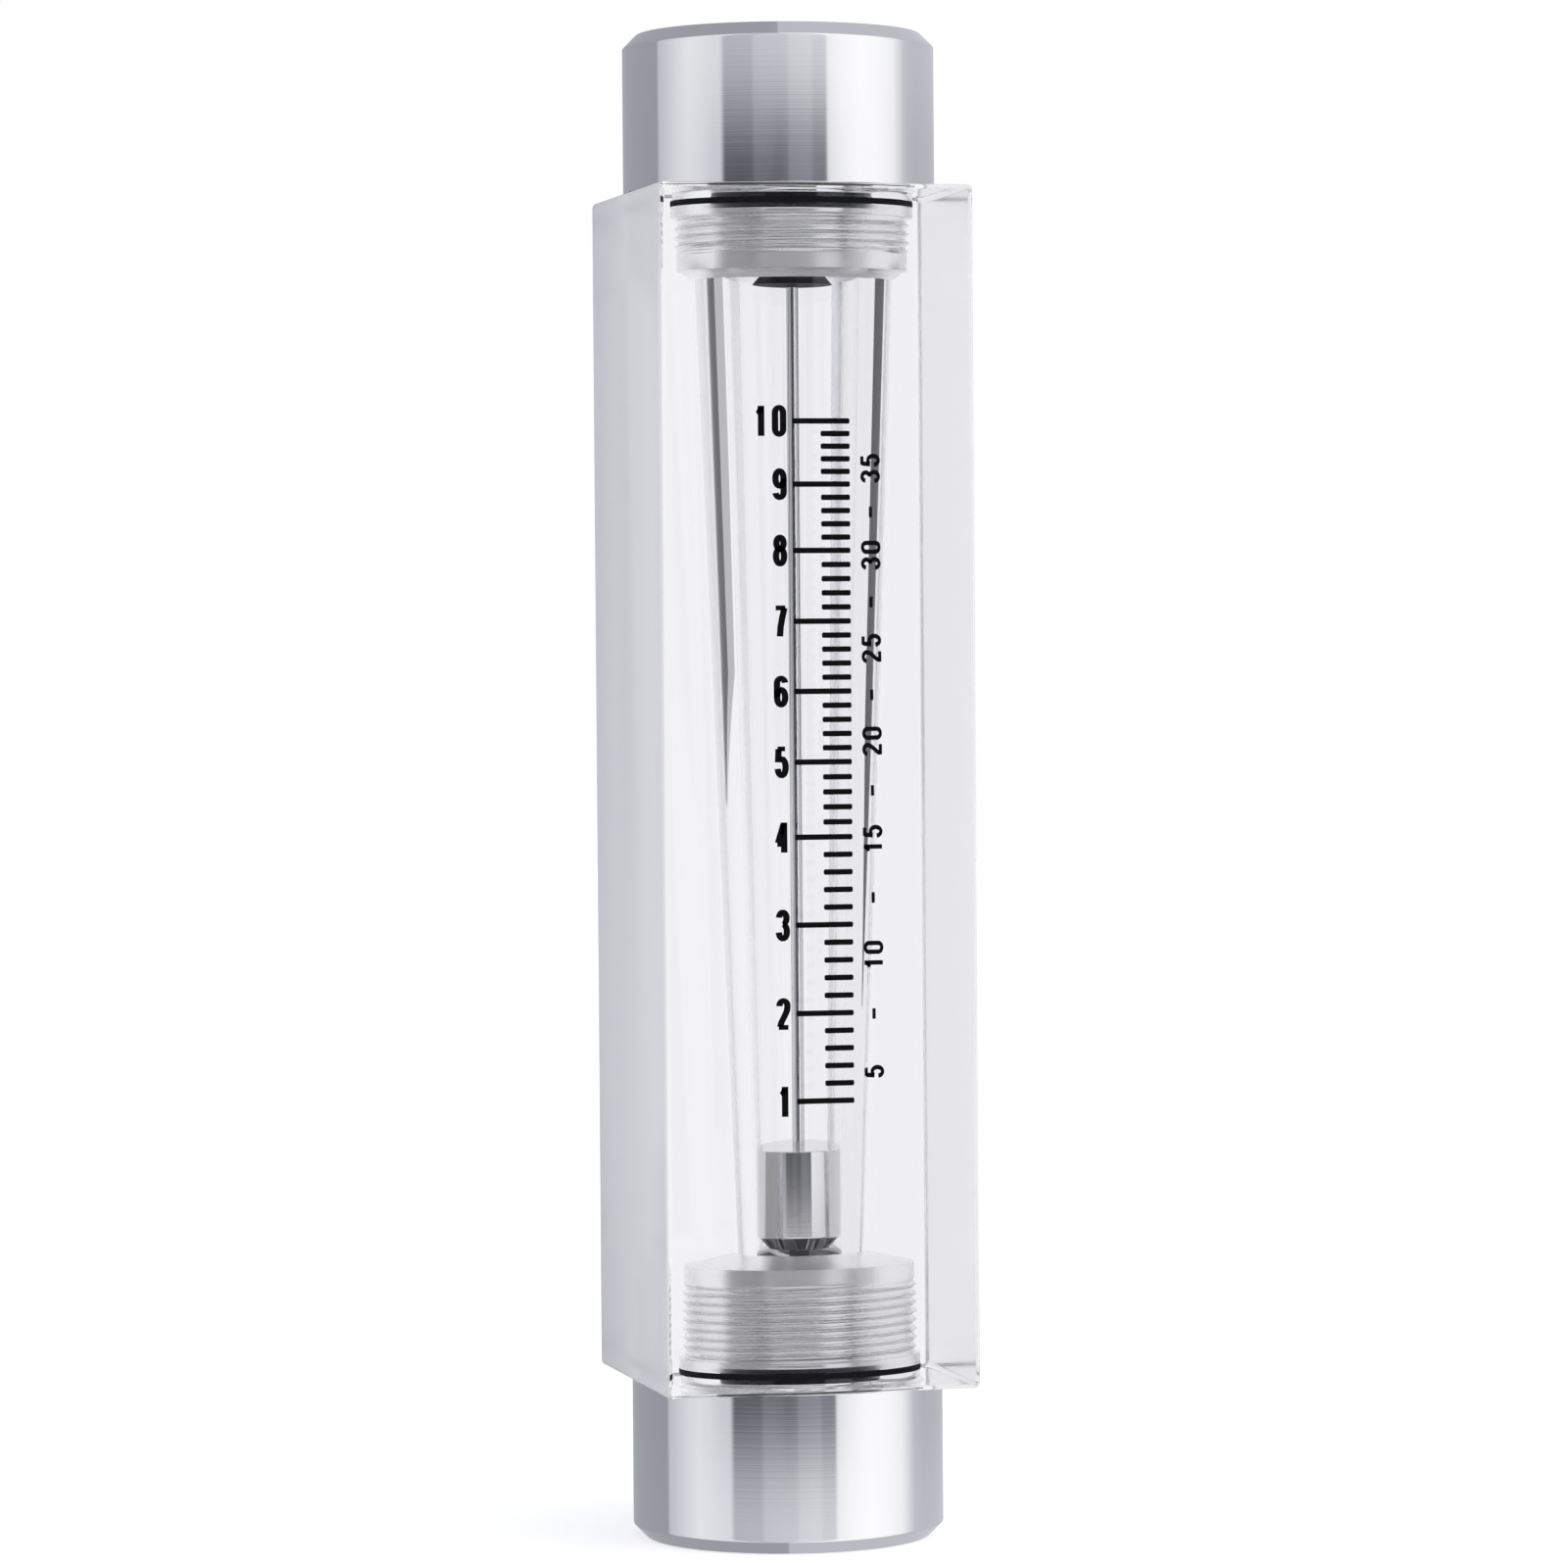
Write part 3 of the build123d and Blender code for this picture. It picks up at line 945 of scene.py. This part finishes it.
def sweep_stroke(bm, points, pen, depth):
    """Adds a flat closed bar of the pen's width along the points to bm."""
    closed = (Vector(points[0]) - Vector(points[-1])).length < SAME_PLACE
    points = [Vector(p) for p in (points[:-1] if closed else points)]
    count = len(points)
    sections = []
    for index, point in enumerate(points):
        before = points[index - 1] if index or closed else point
        after = points[(index + 1) % count] if index < count - 1 or closed else point
        along = ((after - point).normalized() + (point - before).normalized()).normalized()
        side = Vector((-along.y, along.x))
        straight = (after - point if after != point else point - before).normalized()
        corner = abs(side.dot(Vector((-straight.y, straight.x))))
        reach = side * pen / 2 / max(SHARPEST_CORNER, corner)
        left, right = point + reach, point - reach
        corners = [(left, depth), (left, 0), (right, 0), (right, depth)]
        sections.append([bm.verts.new((p.x, p.y, d)) for p, d in corners])
    pairs = list(zip(sections, sections[1:])) + ([(sections[-1], sections[0])] if closed else [])
    for low, high in pairs:
        for side in range(4):
            after = (side + 1) % 4
            bm.faces.new((low[side], low[after], high[after], high[side]))
    if not closed:
        bm.faces.new(sections[0])
        bm.faces.new(sections[-1])


# %% [markdown]
# Whole numbers stand left of the long marks. On the right a second row of plain numbers
# reads upwards: the same flow in litres a minute, placed by the first scale, with a dash
# between neighbours.

# %% Printing the numerals
NUMERAL_HEIGHT = 5.0 * MM
NUMERAL_WIDTH = 2.35 * MM
NUMERAL_RIGHT = -5.2 * MM
LITRE_HEIGHT = 3.2 * MM
LITRE_WIDTH = 2.1 * MM
LITRE_MIDDLE = 8.3 * MM
LITRES_PER_GALLON = 3.785
LITRE_READINGS = (5, 10, 15, 20, 25, 30, 35)
NUMERAL_PEN = 0.155
LITRE_PEN = 0.165
LETTER_GAP = 0.14
STRETCH = 1.35
TWO_DIGIT_HALF = 1.15


def print_words(bm, words, height, width, middle, turned=0.0, pen_share=NUMERAL_PEN):
    """Adds the strokes of some words to bm, centred on a point of the front face."""
    pen = pen_share * height
    tall = height - pen
    wide = width / STRETCH - pen
    step = (width + LETTER_GAP * height) / STRETCH
    start = -(step * (len(words) - 1) + wide) / 2
    placed = bmesh.new()
    for index, letter in enumerate(words):
        for stroke in STROKES[letter]:
            path = [(start + index * step + x * wide, (y - 0.5) * tall) for x, y in stroke]
            sweep_stroke(placed, path, pen, INK_DEPTH)
    place = Matrix.Translation((middle[0], FACE_Y + INK_DEPTH, middle[1]))
    place @= Matrix.Rotation(math.pi / 2, 4, "X") @ Matrix.Rotation(turned, 4, "Z")
    place @= Matrix.Diagonal((STRETCH, 1, 1, 1))
    bmesh.ops.transform(placed, matrix=place, verts=placed.verts)
    mesh = bpy.data.meshes.new("words")
    placed.to_mesh(mesh)
    placed.free()
    bm.from_mesh(mesh)
    bpy.data.meshes.remove(mesh)


def printed_piece(name, bm):
    piece = finished_mesh(bm, name)
    piece.data.materials.append(ink)
    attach(piece, "housing")
    report(piece)


def print_litres(bm, words, height):
    """Adds words of the second row to bm, turned to read upwards."""
    middle = (LITRE_MIDDLE, height)
    print_words(bm, words, LITRE_HEIGHT, LITRE_WIDTH, middle, math.pi / 2, LITRE_PEN)


# %% Both rows of numerals
bm = bmesh.new()
for number in range(1, 11):
    words = str(number)
    half = NUMERAL_WIDTH * (0.5 if len(words) == 1 else TWO_DIGIT_HALF)
    middle = (NUMERAL_RIGHT - half, height_of(number))
    print_words(bm, words, NUMERAL_HEIGHT, NUMERAL_WIDTH, middle)
printed_piece("scale_numerals", bm)

bm = bmesh.new()
heights = [height_of(litres / LITRES_PER_GALLON) for litres in LITRE_READINGS]
for litres, height in zip(LITRE_READINGS, heights):
    print_litres(bm, str(litres), height)
for low, high in zip(heights, heights[1:]):
    print_litres(bm, "-", (low + high) / 2)
printed_piece("litre_numerals", bm)

# %% [markdown]
# ## Floor, studio and camera
#
# The meter stands on a plain pale floor in a soft, even studio. The floor and the world
# show white to the camera, and the same white stands behind the meter for rays that
# come through the acrylic. To either side the studio has the broad soft panels and the
# darker gaps between them that give the steel its upright bands.

# %% Camera, where the photograph was taken from
CAMERA_TURN = math.radians(13.67)
CAMERA_DISTANCE = 990.35 * MM
CAMERA_HEIGHT = 142.8 * MM
CAMERA_TILT = math.radians(-1.259)
CAMERA_PAN = math.radians(0.009)
CAMERA_ROLL = math.radians(0.428)
LENS = 141.2

to_camera = Vector((-math.sin(CAMERA_TURN), -math.cos(CAMERA_TURN), 0))
view_turn = CAMERA_TURN + CAMERA_PAN
level = Vector((math.sin(view_turn), math.cos(view_turn), 0))
forwards = level * math.cos(CAMERA_TILT) + Vector((0, 0, math.sin(CAMERA_TILT)))
rightwards = Vector((math.cos(view_turn), -math.sin(view_turn), 0))
upwards = rightwards.cross(forwards)
rolled_right = rightwards * math.cos(CAMERA_ROLL) - upwards * math.sin(CAMERA_ROLL)
rolled_up = upwards * math.cos(CAMERA_ROLL) + rightwards * math.sin(CAMERA_ROLL)

camera = add_object("camera", bpy.data.cameras.new("camera"))
camera.data.lens = LENS
camera.data.clip_start = 0.01
stand = to_camera * CAMERA_DISTANCE + Vector((0, 0, CAMERA_HEIGHT))
turned = Matrix((rolled_right, rolled_up, -forwards)).transposed().to_4x4()
camera.matrix_world = Matrix.Translation(stand) @ turned
bpy.context.scene.camera = camera
print("camera stands at", [round(part, 3) for part in stand])

# %% Brightness of the studio
# Brightness all round, by degrees to the right of the camera as seen from the meter.
PANELS = (
    (-180, 0.47), (-101, 0.45), (-98.5, 0.74), (-93, 0.78), (-81, 0.94), (-70, 1.07), (-60, 1.04),
    (-50, 1.00), (-43, 0.98), (-40, 0.67), (-19.5, 0.69), (-17.5, 0.80), (6.5, 0.84), (8.5, 0.92),
    (24, 0.97), (26, 0.90), (35, 0.92), (37, 1.20), (48, 1.30), (65, 1.36), (80, 1.30), (94, 1.20),
    (101, 0.97), (108, 0.75), (120, 0.70), (180, 0.68),
)
# The same at the height of the camera, where the studio opens to a dark room.
OPENING = (
    (-180, 0.47), (-101, 0.43), (-98.5, 0.72), (-93, 0.76), (-81, 0.93), (-70, 1.00), (-60, 0.94),
    (-50, 0.82), (-43, 0.78), (-40, 0.12), (-19.5, 0.12), (-17.5, 0.19), (-6, 0.18), (0, 0.14),
    (6.5, 0.17), (8.5, 0.27), (24, 0.29), (26, 0.22), (35, 0.22), (37, 1.00), (48, 1.18),
    (60, 1.30), (78, 1.30), (94, 1.17), (101, 0.95), (108, 0.70), (120, 0.62), (180, 0.62),
)
# What light that left the block meets at that height: darker still, with white behind.
BEHIND = (
    (-180, 0.94), (-95, 0.90), (-80, 0.90), (-77, 0.50), (-70, 0.42), (-43, 0.34), (-40, 0.03),
    (-19.5, 0.03), (-17.5, 0.08), (-6, 0.08), (0, 0.04), (6.5, 0.08), (8.5, 0.18), (24, 0.18),
    (26, 0.12), (35, 0.12), (37, 1.25), (100, 1.20), (120, 1.00), (180, 0.94),
)
LIT = 0.94
LIT_COLOUR = (LIT, LIT, LIT, 1)
WHITE = (1, 1, 1, 1)
OPENING_MIDDLE = math.radians(-1.25)
OPENING_EDGE = (math.radians(5.7), math.radians(6.8))
print(len(PANELS), "steps of brightness")

# %% The studio around the meter
NEUTRAL_GREY = 1.3
BLUE_SHARE = 0.07
GREEN_SHARE = 0.8
MIX_FACTOR, MIX_FIRST, MIX_SECOND, MIX_RESULT = 0, 6, 7, 2
HALF_A_BOUNCE = 0.5
rightwards_of_studio = Vector((math.cos(CAMERA_TURN), -math.sin(CAMERA_TURN), 0))


def degrees_to_place(degrees):
    return (degrees + 180) / 360


def cool(grey):
    """The studio's darker parts are slightly blue, and its bright ones are neutral."""
    tint = BLUE_SHARE * max(0.0, NEUTRAL_GREY - grey)
    return (grey * (1 - tint), grey * (1 - tint * GREEN_SHARE), grey * (1 + tint), 1.0)


def studio_world():
    world = bpy.data.worlds.new("studio")
    nodes = bare_nodes(world)
    direction = nodes.add("ShaderNodeTexCoord")

    def along(axis):
        product = {"operation": "DOT_PRODUCT"}
        return nodes.add("ShaderNodeVectorMath", product, {0: direction, 1: axis}).output("Value")

    def mix(factor, first, second):
        """The first colour where the factor is 0 and the second where it is 1."""
        sockets = {MIX_FACTOR: factor, MIX_FIRST: first, MIX_SECOND: second}
        return nodes.add("ShaderNodeMix", {"data_type": "RGBA"}, sockets, MIX_RESULT)

    ahead = along(to_camera)
    around = along(rightwards_of_studio).math("ARCTAN2", ahead) / (2 * math.pi) + 0.5
    steepness = (along((0, 0, 1)).math("ARCSINE") - OPENING_MIDDLE).math("ABSOLUTE")
    edge = {"Value": steepness, "From Min": OPENING_EDGE[0], "From Max": OPENING_EDGE[1]}
    beyond = nodes.add("ShaderNodeMapRange", {"interpolation_type": "SMOOTHSTEP"}, edge)
    bands = []
    for stops in (OPENING, BEHIND, PANELS):
        placed = [(degrees_to_place(degrees), cool(grey)) for degrees, grey in stops]
        bands.append(nodes.add("ShaderNodeValToRGB", {"stops": placed}, {"Fac": around}))
    opening, behind, panels = bands
    ray = nodes.add("ShaderNodeLightPath")
    through = ray.output("Is Transmission Ray")
    level = mix(through, opening, behind)
    outside = mix(through, panels, LIT_COLOUR)
    studio = mix(beyond, level, outside)
    straight = through * (ray.output("Glossy Depth") < HALF_A_BOUNCE)
    clear = mix(straight, studio, LIT_COLOUR)
    shown = mix(ray.output("Is Camera Ray"), clear, WHITE)
    background = nodes.add("ShaderNodeBackground", None, {"Color": shown})
    nodes.add("ShaderNodeOutputWorld", None, {"Surface": background})
    print("the world has", len(world.node_tree.nodes), "nodes")
    return world


bpy.context.scene.world = studio_world()

# %% The floor
FLOOR_SIZE = 6.0
FLOOR_COLOUR = (0.85, 0.85, 0.85, 1)
FLOOR_LIFT = 0.45


def pale_floor():
    bm = bmesh.new()
    bmesh.ops.create_grid(bm, x_segments=1, y_segments=1, size=FLOOR_SIZE / 2)
    floor = finished_mesh(bm, "floor")
    material = bpy.data.materials.new("pale_floor")
    nodes = bare_nodes(material)
    matt = nodes.add("ShaderNodeBsdfDiffuse", None, {"Color": FLOOR_COLOUR})
    seen = nodes.add("ShaderNodeLightPath").output("Is Camera Ray")
    lift = nodes.add("ShaderNodeEmission", None, {"Strength": seen * FLOOR_LIFT})
    both = nodes.add("ShaderNodeAddShader", None, {0: matt, 1: lift})
    nodes.add("ShaderNodeOutputMaterial", None, {"Surface": both})
    floor.data.materials.append(material)
    floor.visible_glossy = False
    floor.visible_transmission = False
    print("floor is", FLOOR_SIZE, "m wide")


pale_floor()

# %% [markdown]
# Clear plastic shows best with a lit card behind it, one on either side, and two narrow
# black flags between the block and the side cards. The flat parts look through at the
# cards and stay bright. The steep edges of the bore mirror what stands at the sides, so
# the flags draw them as dark lines. Each flag is a wedge, because the lines fade out
# downwards, and the left one has a grey part in front. The left card is greyer at its
# front and back, as the satin side looks from inside, and the float and the rod mirror
# that on their left. Only light that came through plastic meets any of these, and they
# are grey or black only to light that was mirrored on its way. To light that came
# straight through, all of them are the same even white.

# %% Lit cards
CARD_DISTANCE = 90 * MM
CARD_HALF = 110 * MM
CARD_BOTTOM = -0.3
CARD_TOP = 0.6
SIDE_CARD_GAP = 2.6 * MM
FLAG_GAP = 2.0 * MM


def studio_card(name, corners, tone):
    """A flat card that shows a tone to light mirrored inside the plastic."""
    mesh = bpy.data.meshes.new(name)
    mesh.from_pydata(corners, [], [tuple(range(len(corners)))])
    card = add_object(name, mesh)
    material = bpy.data.materials.new(name)
    nodes = bare_nodes(material)
    mirrored = nodes.add("ShaderNodeLightPath").output("Glossy Depth") > HALF_A_BOUNCE
    glow = nodes.add("ShaderNodeEmission", None, {"Strength": LIT - mirrored * (LIT - tone)})
    nodes.add("ShaderNodeOutputMaterial", None, {"Surface": glow})
    mesh.materials.append(material)
    card.visible_camera = False
    card.visible_diffuse = False
    card.visible_glossy = False
    card.visible_shadow = False
    print(name, "has tone", tone)


def side_card(name, x, outline, tone):
    """A card beside the block, from an outline of (y, z) points in millimetres."""
    studio_card(name, [(x, y * MM, z * MM) for y, z in outline], tone)


# %% Cards behind and beside the block
# Name, side, front and back along Y in millimetres, and tone for mirrored light.
SIDE_CARDS = (
    ("right_card", 1, -29, 29, LIT),
    ("left_card", -1, -12, 16, LIT),
    ("left_front_shade", -1, -29, -12, 0.45),
    ("left_back_shade", -1, 16, 29, 0.6),
)
behind = -CARD_DISTANCE * to_camera
sides = [behind + rightwards_of_studio * across for across in (-CARD_HALF, CARD_HALF)]
low, high = Vector((0, 0, CARD_BOTTOM)), Vector((0, 0, CARD_TOP))
corners = [sides[0] + low, sides[1] + low, sides[1] + high, sides[0] + high]
studio_card("lit_card", corners, LIT)

foot, head = BLOCK_BOTTOM / MM, BLOCK_TOP / MM
for name, side, front, back, tone in SIDE_CARDS:
    outline = [(front, foot), (back, foot), (back, head), (front, head)]
    side_card(name, side * (BLOCK_HALF + SIDE_CARD_GAP), outline, tone)

# %% Flags
LEFT_DARK = (
    (4.3, 204), (-2.5, 204), (-1.5, 170), (-0.5, 138),
    (7.0, 117), (9.5, 117), (8.0, 138), (6.2, 170),
)
LEFT_GREY = (
    (-2.6, 204), (-8.0, 204), (-7.2, 170), (-5.8, 138), (5.0, 120), (-0.6, 138), (-1.6, 170),
)
RIGHT_DARK = ((-7.5, 204), (3.0, 204), (4.0, 130), (2.0, 84), (1.0, 84), (-5.0, 130))
# Name, side, outline and tone for mirrored light.
FLAGS = (
    ("left_dark_flag", -1, LEFT_DARK, 0.12),
    ("left_grey_flag", -1, LEFT_GREY, 0.5),
    ("right_dark_flag", 1, RIGHT_DARK, 0.08),
)
for name, side, outline, tone in FLAGS:
    side_card(name, side * (BLOCK_HALF + FLAG_GAP), outline, tone)

# %% [markdown]
# The meter stands on its lower port, so no light comes up through it. A matt black disc
# on the floor under the port is painted shade: it keeps the passage dark, and with it the
# float's chamfer, which mirrors what is below.

# %% Shade under the port
SHADE_SIDES = 64
SHADE_RISE = 0.1 * MM


def port_shade():
    bm = bmesh.new()
    lifted = Matrix.Translation((0, 0, SHADE_RISE))
    bmesh.ops.create_circle(
        bm, cap_ends=True, segments=SHADE_SIDES, radius=PORT_RADIUS, matrix=lifted,
    )
    shade = finished_mesh(bm, "port_shade")
    # The disc's near-black finish is painted shade, where the floor would be in shadow.
    shade.data.materials.append(dark_finish("port_shade", 0.01, 0.8, 0.01 * MM, shine=0.0))
    print("shade is", round(2 * PORT_RADIUS / MM, 1), "mm across")


port_shade()

# %% [markdown]
# Light needs many bounces inside a clear block before it gets out again.

# %% View settings and bounces
scene = bpy.context.scene
scene.view_settings.view_transform = "Standard"
scene.cycles.max_bounces = 24
scene.cycles.transmission_bounces = 24
scene.cycles.glossy_bounces = 12
print("light may bounce", scene.cycles.max_bounces, "times")
